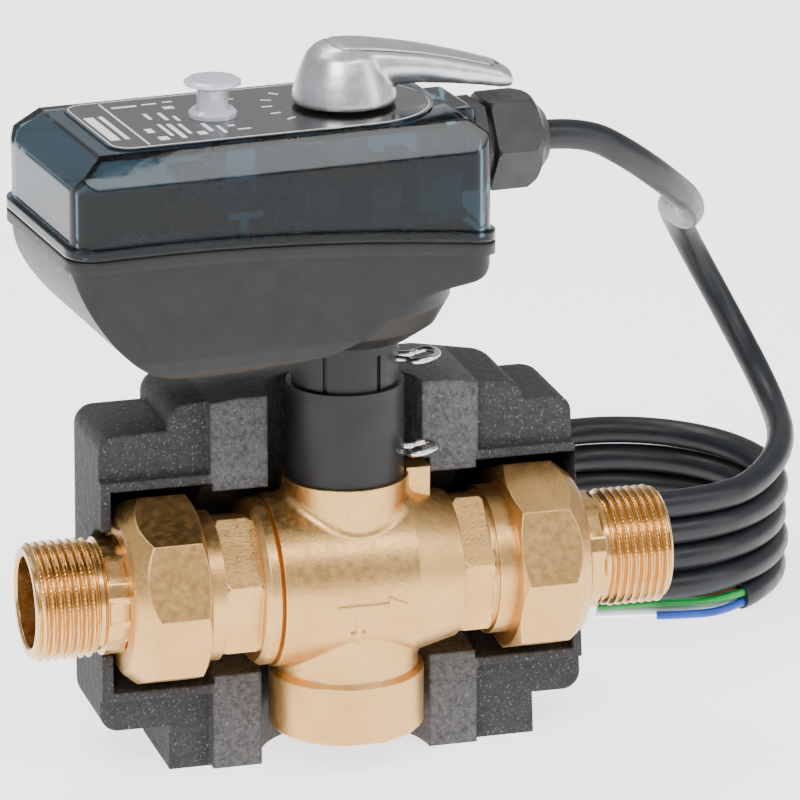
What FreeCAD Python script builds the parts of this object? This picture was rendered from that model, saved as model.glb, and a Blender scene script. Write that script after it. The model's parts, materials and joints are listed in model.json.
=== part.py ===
import FreeCAD, Part
import os
from math import acos, cos, hypot, pi, radians, sin, tan

# Motorised three-way diverter valve, millimetres, +Z up, front towards -Y.
# Everything is drawn about the point where the stem axis crosses the pipe axis,
# then lifted so that the insulation shell stands on z = 0.

V = FreeCAD.Vector
X_AXIS = V(1, 0, 0)
Y_AXIS = V(0, 1, 0)
Z_AXIS = V(0, 0, 1)

# Driving dimensions
PIPE_HEIGHT = 43.5          # pipe axis above the floor
SHELL_DEPTH = 42.0          # shell behind the parting plane
ACTUATOR_TURN = 5.0         # the actuator sits turned on the neck, degrees about +Z
HALF_LENGTH = 72.5          # tail-piece ends
RUN = 0.05                  # radial running clearance
PLAY = 0.3                  # clearance between moving and fixed covers

# Brass
THREAD_R = 13.22            # G 3/4 major radius
THREAD_START = 58.0
BARREL_R = 13.0
BORE_R = 10.1
PORT_MINOR_R = 12.06        # G 3/4 minor radius
RING_R = 16.6               # G 1 major radius on the body ends
RING_IN = 31.0
RING_OUT = 41.0
GASKET_OUT = 43.0
COLLAR_OUT = 46.0
COLLAR_R = 16.2
NUT_IN = 35.0
NUT_OUT = 52.0
NUT_FLATS = 40.0
NUT_SIDES = 8
HEX_FLATS = 29.5
BODY_R = 19.2
BODY_LEFT = -18.5
TAPER_START = 12.0
NOSE_IN = -11.2             # inner end of the connector's nose
HEX_LEFT = (-31.0, -22.6)
HEX_RIGHT = (23.0, 30.0)
BRANCH_R = 16.0
BOSS_R = 17.3
BOSS_TOP = -20.5
BOSS_BOTTOM = -35.0
NECK_R = 14.0
NECK_TOP = 23.4
SPIGOT_R = 10.0
SPIGOT_TOP = 34.5
LUG = (18.5, 3.2, 8.0, 24.0)    # reach, half width, bottom, top

# Ball, seats and stem
BALL_R = 15.5
BALL_BORE_R = 7.5
CAVITY_R = 15.9
SEAT_R = 10.7
SEAT_BORE_R = 7.7
SEAT_OUT = 16.5
STEM_R = 5.0
TANG = 5.0
TANG_BOTTOM = 11.6
STEM_TOP = 42.0
STEM_FLATS = 7.0
FLATS_BOTTOM = 34.6
ORING_HEIGHTS = (21.0, 24.5)

# Insulation shell: front outlines (x, z), anticlockwise from the lower left
WING_OUTLINE = ((-55.5, -33), (55.5, -34), (52.5, 36), (-55, 35.5))
WING_DEPTH = 35.0
CORE_OUTLINE = ((-40, -PIPE_HEIGHT), (44.5, -PIPE_HEIGHT), (41.5, 39.5), (24, 42.5), (-24, 42.5),
                (-39.5, 41))

# Neck of the actuator
SLEEVE_R = 13.0
SLEEVE_TOP = 45.0
SLEEVE_STEP = 38.0
SLEEVE_STEP_R = 10.5
SOCKET_R = 11.8
SOCKET_TOP = 56.0
COUPLING_R = 6.4
COUPLING_TOP = 52.0
SQUARE = 6.4
SHAFT_R = 5.0
SHAFT_TOP = 113.0
CLIP_WIRE_R = 0.8
CLIP_TURN = -25.0
CLIP_LEG_Y = 1.8
CLIP_LEG_IN = 11.0
CLIP_LOOP = ((14.1, 1.8), (15.2, 4.2), (18.6, 4.2), (20.8, 0))
CLIP_HEIGHTS = {"lower_clip": 29.4, "upper_clip": 50.2}

# Actuator case
CASE_LEFT = -68.8
CASE_RIGHT = 25.8
CASE_FRONT = -25.0
CASE_BACK = 25.5
CASE_CORNER = 5.5
WALL = 2.0
PLATEAU = 107.0
LABEL_TOP = 107.4
JOINT = ((-72.0, 85.1), (-30.0, 84.9), (30.0, 79.2))
SKIRT = ((-68.8, 82), (-67.2, 76.5), (-63.0, 69), (-57.2, 62.3), (-50.5, 58.0), (-42, 56.6),
         (-26, 57.1), (-12, 58.8), (-4, 62.0), (3, 66.4), (10, 69.8), (18, 71.4), (23.6, 73.0),
         (25.8, 77.5))
RIM_REACH = 1.2
RIM_HEIGHT = 2.6
BOWL_R = 23.0
BOWL_BOTTOM = 56.0
GASKET_T = 0.5
SCREWS = ((-54, -14), (2, 14), (2, -14), (-24, -17))
GLAND_Z = 95.6
GLAND_THREAD_R = 6.2
GLAND_FLATS = 18.6
GLAND_NUT_FLATS = 19.6
GLAND_BOSS_X = 27.4

# Hand lever: (x, z) curves from the hub over the top to the tip, and back underneath
LEVER_BASE = 107.8
LEVER_HUB_R = 11.6
LEVER_TOP = ((-11.6, 109.8), (-10.2, 114.8), (-7.2, 119.3), (-2.4, 121.8), (4, 121.4), (16, 118.2),
             (30.8, 113.6), (36.4, 111.2), (38.6, 108.9))
LEVER_UNDER = ((38.6, 108.9), (36.8, 108.2), (31, 108.6), (22.6, 109.7), (15.5, 111.0), (11.6, 110.4))

# Gear train: (x, y) of the fixed axles
CLUTCH_AT = (-30.0, 0.0)
FIRST_AT = (-44.6, 10.5)
MOTOR_AT = (-41.05, -3.05)
AXLE_R = 1.5
COARSE = 1.0                # gear module, output stage
FINE = 0.5                  # gear module, fast stages
OUTPUT_TEETH = 42
CLUTCH_PINION_TEETH = 18
CLUTCH_TEETH = 60
PINION_TEETH = 12
FIRST_TEETH = 44
BACKLASH = 0.20             # share of the pitch taken off each tooth
PLATE = (71.0, 72.2)
BOARD = (85.0, 86.6)
BOARD_POSTS = ((-17.5, 17), (-17.5, -17), (8, 17.2), (8, -17.2))

# Cable
CABLE_R = 3.3
CABLE_EXIT_X = 45.8
LEAD_ROUTE = (
    (45.63, 3.99, 95.6), (55.8, 4.88, 95.6), (69.8, 8.5, 92.3), (80.8, 16.5, 86.3), (90.2, 33.3, 77.4),
    (94.5, 67.3, 59), (108.8, 116.1, 54.9), (121.5, 132.7, 36.4), (134.2, 130.1, 11.7),
    (138.9, 109.6, -6.7), (132.5, 82.5, -9.3), (118.5, 66, -12.9), (103, 59.2, -13.4),
)
COIL_AT = (99.1, 95.1)
COIL_R = 33.4
COIL_PITCH = 6.8
COIL_RISE = 3.5             # pitches between the lowest and the highest strand
COIL_END = -60.0            # angle of the cut end, degrees past +X
CORE_R = 1.0
CORE_ROUTES = {
    # each core: (ahead of the cut end, sideways, height above the floor)
    "wire_green": ((0, -1.2, 4.5), (7, 0.2, 4), (14, 7.6, 3.4), (21, 14.2, 3.2), (29, 19.5, 3.1)),
    "wire_brown": ((0, 1.2, 4.5), (7, 3.4, 4.2), (14, 11, 3.2), (21, 17.5, 3), (27, 21.5, 2.6)),
    "wire_white": ((0, 1.2, 2.1), (7, 2.2, 1.6), (15, 9.3, 1.1), (22, 15.8, 1.1), (28, 20.6, 1.1)),
    "wire_blue": ((0, -1.2, 2.1), (7, -0.9, 1.4), (13.5, 3.6, 1.1), (19.5, 9, 1.1)),
}



def front_reach():
    """How far the turned case's rim reaches in front of the stem axis."""
    turn = radians(ACTUATOR_TURN)
    along = -CASE_LEFT - CASE_CORNER
    across = -CASE_FRONT - CASE_CORNER
    return along * sin(turn) + across * cos(turn) + CASE_CORNER + RIM_REACH


PLACE = V(0, (front_reach() - SHELL_DEPTH) / 2, PIPE_HEIGHT)


# ---------------------------------------------------------------- helpers
def save(name, shape, turn=0.0):
    """Write one node, turned about the stem and moved to the floor frame."""
    placed = shape.copy()
    placed.rotate(V(0, 0, 0), Z_AXIS, turn)
    placed.translate(PLACE)
    if not placed.isValid():
        print("INVALID", name)
    placed.exportStep("parts/" + name + ".step")
    print(name, len(placed.Solids), round(placed.Volume))


def cyl_x(radius, x0, x1, y=0, z=0):
    return Part.makeCylinder(radius, x1 - x0, V(x0, y, z), X_AXIS)


def cyl_y(radius, y0, y1, x=0, z=0):
    return Part.makeCylinder(radius, y1 - y0, V(x, y0, z), Y_AXIS)


def cyl_z(radius, z0, z1, x=0, y=0):
    return Part.makeCylinder(radius, z1 - z0, V(x, y, z0), Z_AXIS)


def ring_x(outer, inner, x0, x1):
    return cyl_x(outer, x0, x1).cut(cyl_x(inner, x0, x1))


def ring_z(outer, inner, z0, z1, x=0, y=0):
    return cyl_z(outer, z0, z1, x, y).cut(cyl_z(inner, z0, z1, x, y))


def block(x0, x1, y0, y1, z0, z1):
    return Part.makeBox(x1 - x0, y1 - y0, z1 - z0, V(x0, y0, z0))


def face_of(points):
    corners = [V(*point) for point in points]
    return Part.Face(Part.makePolygon(corners + corners[:1]))


def front_prism(outline, y0, y1):
    """Outline in (x, z), pulled along Y."""
    return face_of([(x, y0, z) for x, z in outline]).extrude(V(0, y1 - y0, 0))


def side_prism(outline, x0, x1):
    """Outline in (y, z), pulled along X."""
    return face_of([(x0, y, z) for y, z in outline]).extrude(V(x1 - x0, 0, 0))


def plan_prism(outline, z0, z1):
    """Outline in (x, y), pulled up."""
    return face_of([(x, y, z0) for x, y in outline]).extrude(V(0, 0, z1 - z0))


def turned_x(profile):
    """Solid of revolution about the pipe axis from (x, r) points."""
    return face_of([(x, 0, r) for x, r in profile]).revolve(V(0, 0, 0), X_AXIS, 360)


def turned_z(profile, x=0, y=0):
    """Solid of revolution about a vertical axis from (r, z) points."""
    face = face_of([(x + r, y, z) for r, z in profile])
    return face.revolve(V(x, y, 0), Z_AXIS, 360)


def hexagon_x(flats, x0, x1, z=0, turn=15.0, sides=6):
    """Prism along X with a corner at `turn` degrees above -Y."""
    corner = flats / 2 / cos(pi / sides)
    angles = [radians(turn) + 2 * pi * i / sides for i in range(sides)]
    outline = [(-corner * cos(a), z + corner * sin(a)) for a in angles]
    return side_prism(outline, x0, x1)


def rounded_plan(x0, x1, y0, y1, radius, z0, z1):
    box = block(x0, x1, y0, y1, z0, z1)
    upright = [e for e in box.Edges if abs(e.Vertexes[0].Z - e.Vertexes[1].Z) > 0.9 * (z1 - z0)]
    return box.makeFillet(radius, upright)


def fused(shapes):
    return shapes[0].multiFuse(shapes[1:]).removeSplitter()


def mirror_x(shape):
    return shape.mirror(V(0, 0, 0), X_AXIS)


def corner_radius(before, corner, after):
    """Largest tidy arc at a corner of a route: 0.45 of the shorter run."""
    first = corner - before
    second = after - corner
    turn = first.getAngle(second)
    return 0.45 * min(first.Length, second.Length) / tan(turn / 2)


def routed_wire(points):
    """Straight runs joined by tangent arcs; returns the wire and its radii."""
    nodes = [V(*p) for p in points]
    edges = []
    radii = []
    start = nodes[0]
    for before, corner, after in zip(nodes, nodes[1:], nodes[2:]):
        into = (corner - before).normalize()
        out = (after - corner).normalize()
        radius = corner_radius(before, corner, after)
        half_turn = into.getAngle(out) / 2
        reach = radius * tan(half_turn)
        enter = corner - into * reach
        leave = corner + out * reach
        sagitta = radius / cos(half_turn) - radius
        middle = corner + (out - into).normalize() * sagitta
        edges.append(Part.LineSegment(start, enter).toShape())
        edges.append(Part.Arc(enter, middle, leave).toShape())
        radii.append(radius)
        start = leave
    edges.append(Part.LineSegment(start, nodes[-1]).toShape())
    return Part.Wire(edges), radii


def tube(points, radius):
    wire, radii = routed_wire(points)
    start = V(*points[0])
    heading = V(*points[1]) - start
    section = Part.Wire(Part.makeCircle(radius, start, heading))
    solid = wire.makePipeShell([section], True, False)
    print("  tube length", round(wire.Length, 1), "volume share",
          round(solid.Volume / (pi * radius ** 2 * wire.Length), 3),
          "radii", [round(r, 1) for r in radii])
    return solid


# ---------------------------------------------------------------- gears
def involute_flank(base, tip, steps=6):
    """(radius, angle) pairs along an involute from the base to the tip."""
    flank = []
    for i in range(steps + 1):
        radius = base + (tip - base) * i / steps
        spread = acos(base / radius)
        flank.append((radius, tan(spread) - spread))
    return flank


def gear_outline(module, teeth, phase, x, y, first=0, count=None):
    """Closed outline of a spur gear; `phase` is the angle of tooth 0."""
    pitch_r = module * teeth / 2
    pressure = radians(20)
    base = pitch_r * cos(pressure)
    tip = pitch_r + 0.9 * module
    root = pitch_r - 1.2 * module
    flank = involute_flank(max(base, root + 0.01), tip)
    half = pi / teeth * (0.5 - BACKLASH / 2) + tan(pressure) - pressure
    outline = []
    for i in range(first, first + (count or teeth)):
        centre = phase + 2 * pi * i / teeth
        low = half - flank[0][1]
        outline.append((root, centre - low))
        outline += [(r, centre - half + a) for r, a in flank]
        outline += [(r, centre + half - a) for r, a in reversed(flank)]
        outline.append((root, centre + low))
    return [(x + r * cos(a), y + r * sin(a)) for r, a in outline]


def spur_gear(module, teeth, phase, at, z0, z1, bore):
    wheel = plan_prism(gear_outline(module, teeth, phase, at[0], at[1]), z0, z1)
    return wheel.cut(cyl_z(bore, z0, z1, at[0], at[1]))


def matched_phase(phase, teeth, at, other_teeth, other_at):
    """Phase that puts a gap of the other gear on the line of centres."""
    along = V(other_at[0] - at[0], other_at[1] - at[1], 0)
    angle = X_AXIS.getAngle(along) * (1 if along.y >= 0 else -1)
    offset = (angle - phase) * teeth / (2 * pi)
    return angle + pi - (0.5 - offset) * 2 * pi / other_teeth


OUTPUT_PHASE = 0.0
CLUTCH_PHASE = matched_phase(
    OUTPUT_PHASE, OUTPUT_TEETH, (0, 0), CLUTCH_PINION_TEETH, CLUTCH_AT)
FIRST_PHASE = matched_phase(CLUTCH_PHASE, CLUTCH_TEETH, CLUTCH_AT, PINION_TEETH, FIRST_AT)
MOTOR_PHASE = matched_phase(FIRST_PHASE, FIRST_TEETH, FIRST_AT, PINION_TEETH, MOTOR_AT)


# ---------------------------------------------------------------- brass body
def flow_mark():
    """Raised arrow: straight on to the right, or down."""
    bar = front_prism([(-7.0, -2.3), (4.6, -2.3), (4.6, -3.7), (9.0, -1.7),
                       (4.6, 0.3), (4.6, -1.1), (-7.0, -1.1)], -24, -10)
    stem = front_prism([(-2.5, -2.0), (-2.5, -8.2), (-3.7, -8.2), (-1.9, -11.0),
                        (-0.1, -8.2), (-1.3, -8.2), (-1.3, -2.0)], -24, -10)
    return bar.fuse(stem).common(cyl_x(BODY_R + 0.55, -12, 12))


def clip_channels(height):
    """Two short holes that hold the ends of a wire clip."""
    holes = [cyl_x(CLIP_WIRE_R + RUN, CLIP_LEG_IN - 0.3, SLEEVE_R + 1, side * CLIP_LEG_Y, height)
             for side in (-1, 1)]
    channels = Part.makeCompound(holes)
    channels.rotate(V(0, 0, 0), Z_AXIS, CLIP_TURN)
    return channels


def on_upright(edge, radius):
    """True for the curved seam between an upright cylinder and the pipe."""
    points = edge.discretize(12)
    return (edge.Curve.TypeId != "Part::GeomCircle"
            and all(abs(hypot(p.x, p.y) - radius) < 0.02 for p in points)
            and all(2 < abs(p.z) < NECK_TOP - 2 for p in points))


def cast_tee():
    """Pipe run with neck and branch, blended like a casting."""
    run = cyl_x(BODY_R, BODY_LEFT, TAPER_START)
    taper = Part.makeCone(BODY_R, 16.4, HEX_RIGHT[0] - TAPER_START, V(TAPER_START, 0, 0), X_AXIS)
    neck = cyl_z(NECK_R, 0, NECK_TOP)
    branch = cyl_z(BRANCH_R, BOSS_TOP - 1, 0)
    tee = fused([run, taper, neck, branch])
    for radius, blend in ((NECK_R, 2.5), (BRANCH_R, 1.6)):
        tee = tee.makeFillet(blend, [e for e in tee.Edges if on_upright(e, radius)])
    return tee


def valve_body():
    boss = turned_z([(0, BOSS_BOTTOM), (BOSS_R - 0.8, BOSS_BOTTOM), (BOSS_R, BOSS_BOTTOM + 0.8),
                     (BOSS_R, BOSS_TOP - 1.2), (BRANCH_R, BOSS_TOP), (0, BOSS_TOP)])
    boss = boss.cut(block(-20, 20, -20, -15.9, BOSS_BOTTOM - 1, BOSS_TOP - 1.4))
    spigot = cyl_z(SPIGOT_R, NECK_TOP - 1, SPIGOT_TOP)
    reach, half, low, high = LUG
    lug = block(SLEEVE_R + 0.1, reach, -half, half, low, high)
    hexagon = hexagon_x(HEX_FLATS, *HEX_RIGHT).common(
        turned_x([(22, 0), (22, 15.6), (24.2, 17.2), (29, 17.2), (31, 15.8), (31, 0)]))
    relief = cyl_x(15.4, HEX_RIGHT[1] - 0.2, RING_IN + 0.1)
    thread = turned_x([(RING_IN, 0), (RING_IN, RING_R), (RING_OUT - 1, RING_R),
                       (RING_OUT, RING_R - 1), (RING_OUT, 0)])
    body = fused([cast_tee(), boss, spigot, lug, hexagon, relief, thread, flow_mark()])
    cavity = cyl_x(CAVITY_R, BODY_LEFT - 1, 0).fuse(Part.makeSphere(CAVITY_R))
    passages = [
        cavity,
        cyl_x(SEAT_R + RUN, 5, SEAT_OUT),
        cyl_x(BORE_R, SEAT_OUT - 0.1, RING_OUT + 1),
        cyl_z(SEAT_R + RUN, -SEAT_OUT, -5),
        cyl_z(BORE_R, BOSS_TOP - 0.5, -SEAT_OUT + 0.1),
        cyl_z(PORT_MINOR_R, BOSS_BOTTOM - 1, BOSS_TOP - 0.4),
        turned_z([(0, BOSS_BOTTOM - 1), (13.6, BOSS_BOTTOM - 1), (12.0, BOSS_BOTTOM + 0.7),
                  (0, BOSS_BOTTOM + 0.7)]),
        cyl_z(STEM_R + RUN, 12, SPIGOT_TOP + 1),
        cyl_z(6.6, 10, 18.2),
    ]
    return body.cut(passages)


def end_connector():
    ring = turned_x([(HEX_LEFT[1] - 0.1, 0), (HEX_LEFT[1] - 0.1, 17.6), (-21.4, 18.6),
                     (-19.4, 18.6), (BODY_LEFT, 17.8), (BODY_LEFT, 0)])
    hexagon = hexagon_x(HEX_FLATS, *HEX_LEFT).common(
        turned_x([(-32, 0), (-32, 15.4), (-30, 17.2), (-24, 17.2), (-22, 16.2), (-22, 0)]))
    thread = turned_x([(-RING_OUT, 0), (-RING_OUT, RING_R - 1), (-RING_OUT + 1, RING_R),
                       (-RING_IN, RING_R), (-RING_IN, 0)])
    nose = cyl_x(CAVITY_R - RUN, BODY_LEFT, NOSE_IN)
    connector = fused([ring, hexagon, thread, nose])
    groove = ring_x(CAVITY_R + 1, 14.0, -14.9, -13.1)
    return connector.cut([
        Part.makeSphere(CAVITY_R - 0.02), groove,
        cyl_x(SEAT_R + RUN, -SEAT_OUT, -5), cyl_x(BORE_R, -RING_OUT - 1, -SEAT_OUT + 0.1)])


def connector_oring():
    return Part.makeTorus(14.9, 0.85, V(-14.0, 0, 0), X_AXIS)


def ball():
    """Straight bore along X, and a quarter-ring passage from +Y round to the bottom."""
    sphere = Part.makeSphere(BALL_R)
    slot_face = face_of([(-6.0, 0, 9.4), (6.0, 0, 9.4), (6.0, 0, 17), (-6.0, 0, 17)])
    passage = slot_face.revolve(V(0, 0, 0), X_AXIS, -130)
    passage.rotate(V(0, 0, 0), X_AXIS, -70)
    key = block(-TANG / 2, TANG / 2, -16, 16, TANG_BOTTOM - 0.1, 16)
    return sphere.cut([cyl_x(BALL_BORE_R, -16, 16), passage, key])


def seat_right():
    seat = ring_x(SEAT_R, SEAT_BORE_R, 9, SEAT_OUT)
    return seat.cut(Part.makeSphere(BALL_R + 0.02))


def seat_bottom():
    seat = ring_z(SEAT_R, SEAT_BORE_R, -SEAT_OUT, -9)
    return seat.cut(Part.makeSphere(BALL_R + 0.02))


def stem():
    foot = cyl_z(6.5, BALL_R + 0.2, 18.0)
    tang = block(-TANG / 2 + RUN, TANG / 2 - RUN, -4.6, 4.6, TANG_BOTTOM, BALL_R + 0.2)
    shank = cyl_z(STEM_R, 18.0, STEM_TOP)
    body = fused([foot, tang, shank])
    grooves = [ring_z(STEM_R + 1, 3.5, z - 0.85, z + 0.85) for z in ORING_HEIGHTS]
    flats = [block(-8, 8, y0, y1, FLATS_BOTTOM, STEM_TOP)
             for y0, y1 in ((-8, -STEM_FLATS / 2), (STEM_FLATS / 2, 8))]
    return body.cut(grooves + flats)


def stem_orings():
    return Part.makeCompound([Part.makeTorus(4.25, 0.73, V(0, 0, z)) for z in ORING_HEIGHTS])


# ---------------------------------------------------------------- unions
def union_nut():
    blank = hexagon_x(NUT_FLATS, NUT_IN, NUT_OUT, turn=0.0, sides=NUT_SIDES)
    corner = NUT_FLATS / 2 / cos(pi / NUT_SIDES)
    turned = turned_x([(NUT_IN, 0), (NUT_IN, 19.6), (NUT_IN + 1.4, corner), (NUT_OUT - 5.0, corner),
                       (NUT_OUT - 0.6, 18.2), (NUT_OUT, 17.2), (NUT_OUT, 0)])
    nut = blank.common(turned)
    return nut.cut([cyl_x(RING_R + RUN, NUT_IN - 1, COLLAR_OUT + RUN),
                    cyl_x(BARREL_R + RUN, COLLAR_OUT, NUT_OUT + 1)])


def gasket():
    return ring_x(16.0, BORE_R, RING_OUT, GASKET_OUT)


def tailpiece():
    return turned_x([
        (GASKET_OUT, BORE_R), (GASKET_OUT, COLLAR_R), (COLLAR_OUT, COLLAR_R), (COLLAR_OUT, BARREL_R),
        (THREAD_START - 1.2, BARREL_R), (THREAD_START - 0.6, BARREL_R - 1.1),
        (THREAD_START, BARREL_R - 1.1), (THREAD_START, THREAD_R),
        (HALF_LENGTH - 1.0, THREAD_R), (HALF_LENGTH, THREAD_R - 1.2),
        (HALF_LENGTH, BORE_R + 0.5), (HALF_LENGTH - 0.5, BORE_R)])


# ---------------------------------------------------------------- insulation
def rounded_behind(body, depth, radius):
    """Round the rear edges of a body that ends at `depth`, except along the floor."""
    rear = [e for e in body.Edges
            if abs(e.CenterOfMass.y - depth) < 0.01 and e.CenterOfMass.z > 1 - PIPE_HEIGHT]
    return body.makeFillet(radius, rear)


def along_depth(body, places, radius):
    """Round the front-to-back edges of a body that pass near the given (x, z) places."""
    edges = [e for e in body.Edges if abs(e.Vertexes[0].Y - e.Vertexes[-1].Y) > 5
             and any(hypot(e.CenterOfMass.x - x, e.CenterOfMass.z - z) < 2 for x, z in places)]
    return body.makeFillet(radius, edges)


def insulation_shell():
    """Rear half of the foam shell, with the seats that the brass lies in."""
    wings = front_prism(WING_OUTLINE, 0, WING_DEPTH)
    wings = along_depth(wings, WING_OUTLINE, 4)
    wings = rounded_behind(wings, WING_DEPTH, 10)
    core = front_prism(CORE_OUTLINE, 0, SHELL_DEPTH)
    core = along_depth(core, CORE_OUTLINE[2:], 4)
    core = rounded_behind(core, SHELL_DEPTH, 16)
    reach, half, low, high = LUG
    seats = [
        cyl_x(21.6, -RING_IN, RING_IN),
        cyl_x(23.4, RING_IN - 1, 53.0), cyl_x(23.4, -53.0, -RING_IN + 1),
        cyl_x(14.4, 50, 58), cyl_x(14.4, -58, -50),
        cyl_z(17.6, 0, 50), cyl_z(19.4, -50, 0),
        block(15, reach + 1.0, -half, half + 0.6, low, high + 1.0),
    ]
    recesses = [block(x0, x1, -1, 2.4, z0, z1)
                for x0, x1 in ((-60, -30.5), (30.5, 60)) for z0, z1 in ((25.5, 50), (-50, -25.5))]
    return wings.fuse(core).cut(seats + recesses)


# ---------------------------------------------------------------- neck
def adapter_sleeve():
    sleeve = ring_z(SLEEVE_R, SPIGOT_R + RUN, NECK_TOP, SPIGOT_TOP)
    middle = ring_z(SLEEVE_R, 7.5, SPIGOT_TOP, SLEEVE_STEP)
    top = ring_z(SLEEVE_R, SLEEVE_STEP_R, SLEEVE_STEP, SLEEVE_TOP)
    return fused([sleeve, middle, top]).cut(clip_channels(CLIP_HEIGHTS["lower_clip"]))


def actuator_socket():
    outer = cyl_z(SOCKET_R, SLEEVE_TOP, SOCKET_TOP)
    pilot = cyl_z(SLEEVE_STEP_R - RUN, SLEEVE_STEP, SLEEVE_TOP)
    slots = [block(-0.5, 0.5, SOCKET_R - 0.7, SOCKET_R + 2, SLEEVE_TOP, SOCKET_TOP - 3) for i in range(6)]
    for i, slot in enumerate(slots):
        slot.rotate(V(0, 0, 0), Z_AXIS, 60 * i + 18)
    bore = cyl_z(7.0, SLEEVE_STEP - 1, SOCKET_TOP + 1)
    return fused([outer, pilot]).cut(slots + [bore, clip_channels(CLIP_HEIGHTS["upper_clip"])])


def wire_clip(height):
    """Spring-wire clip: two short legs in the neck and a loop outside it."""
    near = [(CLIP_LEG_IN, CLIP_LEG_Y)] + list(CLIP_LOOP)
    far = [(x, -y) for x, y in reversed(near[:-1])]
    clip = tube([(x, y, height) for x, y in near + far], CLIP_WIRE_R)
    clip.rotate(V(0, 0, 0), Z_AXIS, CLIP_TURN)
    return clip


# ---------------------------------------------------------------- case
def joint_side(above, lift=0.0):
    """Everything above or below the arched joint between cover and housing."""
    ends = [V(x, -60, z + lift) for x, z in JOINT]
    arc = Part.Arc(*ends).toShape()
    far = 160 if above else -20
    corners = [ends[2], V(ends[2].x, -60, far), V(ends[0].x, -60, far), ends[0]]
    outline = Part.Wire([arc] + Part.makePolygon(corners).Edges)
    return Part.Face(outline).extrude(V(0, 120, 0))


def inset_face(face, inset):
    return face.makeOffset2D(-inset) if inset else face


def case_plan(inset, reach=0.0):
    return rounded_plan(CASE_LEFT + inset - reach, CASE_RIGHT - inset + reach,
                        CASE_FRONT + inset - reach, CASE_BACK - inset + reach,
                        CASE_CORNER - inset + reach, 40, 120)


def cover_block(inset):
    front = face_of([(x, -40, z) for x, z in (
        (-73, 60), (-69.0, 99.6), (-67.4, 102.6), (-62.2, PLATEAU), (20.7, PLATEAU),
        (24.4, 104.2), (25.9, 101.0), (28.2, 60))])
    side = face_of([(-80, y, z) for y, z in (
        (-27, 60), (-25.0, 100.6), (-23.6, 102.8), (-20.6, PLATEAU), (21.1, PLATEAU),
        (24.1, 102.8), (25.5, 100.6), (27.5, 60))])
    return (inset_face(front, inset).extrude(V(0, 80, 0))
            .common(inset_face(side, inset).extrude(V(130, 0, 0))).common(case_plan(inset)))


def skirt_points(inset):
    """The underside's points, moved inwards square to the curve."""
    curve = Part.BSplineCurve()
    curve.interpolate([V(x, -40, z) for x, z in SKIRT])
    moved = []
    for x, z in SKIRT:
        heading = V(*curve.tangent(curve.parameter(V(x, -40, z)))[0])
        moved.append(V(x, -40, z) + heading.cross(Y_AXIS) * inset)
    return moved


def skirt_face(inset):
    """Front outline of the lower housing: straight top, smooth underside."""
    points = skirt_points(inset)
    curve = Part.BSplineCurve()
    curve.interpolate(points)
    top = [V(points[-1].x, -40, 92), V(points[0].x, -40, 92)]
    return Part.Face(Part.Wire([curve.toShape()]
                               + Part.makePolygon([points[-1]] + top + [points[0]]).Edges))


def housing_block(inset):
    side = face_of([(-80, y, z) for y, z in (
        (-25.0, 95), (-25.0, 61.5), (-24.4, 58.5), (-22.6, 56.3), (-20.4, 55.5), (20.9, 55.5),
        (23.1, 56.3), (24.9, 58.5), (25.5, 61.5), (25.5, 95))])
    hull = (skirt_face(inset).extrude(V(0, 80, 0))
            .common(inset_face(side, inset).extrude(V(130, 0, 0))).common(case_plan(inset)))
    outer = BOWL_R - inset
    low = BOWL_BOTTOM + inset
    bowl = turned_z([(0, low), (outer - 8, low), (outer - 3, low + 3.5), (outer, low + 9),
                     (outer, 80), (0, 80)])
    return hull.fuse(bowl)


def rim(above):
    """Lip that runs round the case at the joint."""
    belt = case_plan(0, RIM_REACH).cut(case_plan(WALL))
    if above:
        return belt.common(joint_side(True)).common(joint_side(False, RIM_HEIGHT))
    return belt.common(joint_side(False)).common(joint_side(True, -RIM_HEIGHT))


def lower_housing():
    outer = housing_block(0).common(joint_side(False))
    inner = housing_block(WALL)
    posts = [cyl_z(3.0, 57, PLATE[0], x, y) for x, y in SCREWS]
    shell = outer.cut(inner)
    standing = Part.makeCompound(posts).common(housing_block(WALL - 0.5))
    body = fused([shell, rim(False), standing])
    return body.cut([cyl_z(7.0, 50, 60)] + [cyl_z(1.3, 64, 72, x, y) for x, y in SCREWS])


def cover():
    outer = cover_block(0).common(joint_side(True, GASKET_T))
    inner = cover_block(WALL)
    boss = block(22.0, GLAND_BOSS_X, -9.5, 9.5, 88, 106.2)
    boss = boss.makeFillet(2.0, [e for e in boss.Edges if e.CenterOfMass.x > 26.5])
    raised = rim(True).common(joint_side(True, GASKET_T))
    body = fused([outer.cut(inner), raised, boss])
    return body.cut([cyl_x(GLAND_THREAD_R, 20, 30, 0, GLAND_Z),
                     cyl_z(SHAFT_R + PLAY, 100, 110), cyl_z(4.4, 100, 110, *CLUTCH_AT)])


def cover_gasket():
    belt = case_plan(0, RIM_REACH - 0.6).cut(case_plan(WALL))
    return belt.common(joint_side(True)).common(joint_side(False, GASKET_T))


def label_plate():
    """Thin plate with a round right end about the lever."""
    straight = rounded_plan(-58.5, 0, -19.2, 19.2, 5.0, PLATEAU, LABEL_TOP)
    plate = straight.fuse(cyl_z(19.2, PLATEAU, LABEL_TOP))
    return plate.cut([cyl_z(SHAFT_R + PLAY, 100, 110), cyl_z(4.4, 100, 110, *CLUTCH_AT)])


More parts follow.
